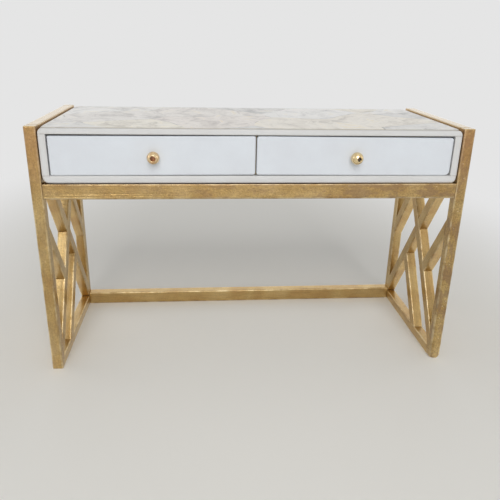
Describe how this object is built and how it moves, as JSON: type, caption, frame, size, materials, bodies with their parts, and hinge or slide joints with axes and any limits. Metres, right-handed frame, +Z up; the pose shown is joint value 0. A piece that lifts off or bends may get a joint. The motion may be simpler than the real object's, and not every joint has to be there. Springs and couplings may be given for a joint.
{
  "type": "miniature dressing table",
  "caption": "Doll's-house dressing table: a white case with two sliding drawers and bead knobs, carried between gold fretwork side frames.",
  "frame": {"origin": "on the floor, under the middle of the whole object's box, which takes in the knobs", "axes": "+X to the right-hand side frame seen from the front, +Y to the back, +Z up; the drawers open towards -Y"},
  "size_m": [0.1064, 0.0442, 0.064],
  "materials": {
    "gold_paint": "satin metallic gold paint over square strip wood",
    "white_paint": "satin white paint over thin board",
    "bare_wood": "bare sanded basswood",
    "marbled_veneer": "satin sheet with a marbled stone mosaic pattern",
    "gold_bead": "polished gold-coloured bead"
  },
  "bodies": {
    "table": {"back_panel": "white_paint", "bottom_panel": "white_paint", "centre_divider": "bare_wood", "front_rail": "gold_paint", "left_bottom_rail": "gold_paint", "left_cross_brace": "gold_paint", "left_front_brace": "gold_paint", "left_front_leg": "gold_paint", "left_long_brace": "gold_paint", "left_lower_brace": "gold_paint", "left_rear_brace": "gold_paint", "left_rear_leg": "gold_paint", "left_side_panel": "white_paint", "left_top_rail": "gold_paint", "left_upper_brace": "gold_paint", "rear_rail": "gold_paint", "rear_stretcher": "gold_paint", "right_bottom_rail": "gold_paint", "right_cross_brace": "gold_paint", "right_front_brace": "gold_paint", "right_front_leg": "gold_paint", "right_long_brace": "gold_paint", "right_lower_brace": "gold_paint", "right_rear_brace": "gold_paint", "right_rear_leg": "gold_paint", "right_side_panel": "white_paint", "right_top_rail": "gold_paint", "right_upper_brace": "gold_paint", "top_panel": "white_paint", "top_veneer": "marbled_veneer"},
    "left_drawer": {"left_drawer_back": "bare_wood", "left_drawer_bottom": "bare_wood", "left_drawer_front": "white_paint", "left_drawer_knob": "gold_bead", "left_drawer_knob_pin": "gold_bead", "left_drawer_left_side": "bare_wood", "left_drawer_right_side": "bare_wood"},
    "right_drawer": {"right_drawer_back": "bare_wood", "right_drawer_bottom": "bare_wood", "right_drawer_front": "white_paint", "right_drawer_knob": "gold_bead", "right_drawer_knob_pin": "gold_bead", "right_drawer_left_side": "bare_wood", "right_drawer_right_side": "bare_wood"}
  },
  "joints": [
    {"name": "left_drawer_slide", "type": "slide", "parent": "table", "child": "left_drawer", "axis": [0, -1, 0], "range_m": [0, 0.028]},
    {"name": "right_drawer_slide", "type": "slide", "parent": "table", "child": "right_drawer", "axis": [0, -1, 0], "range_m": [0, 0.028]}
  ]
}
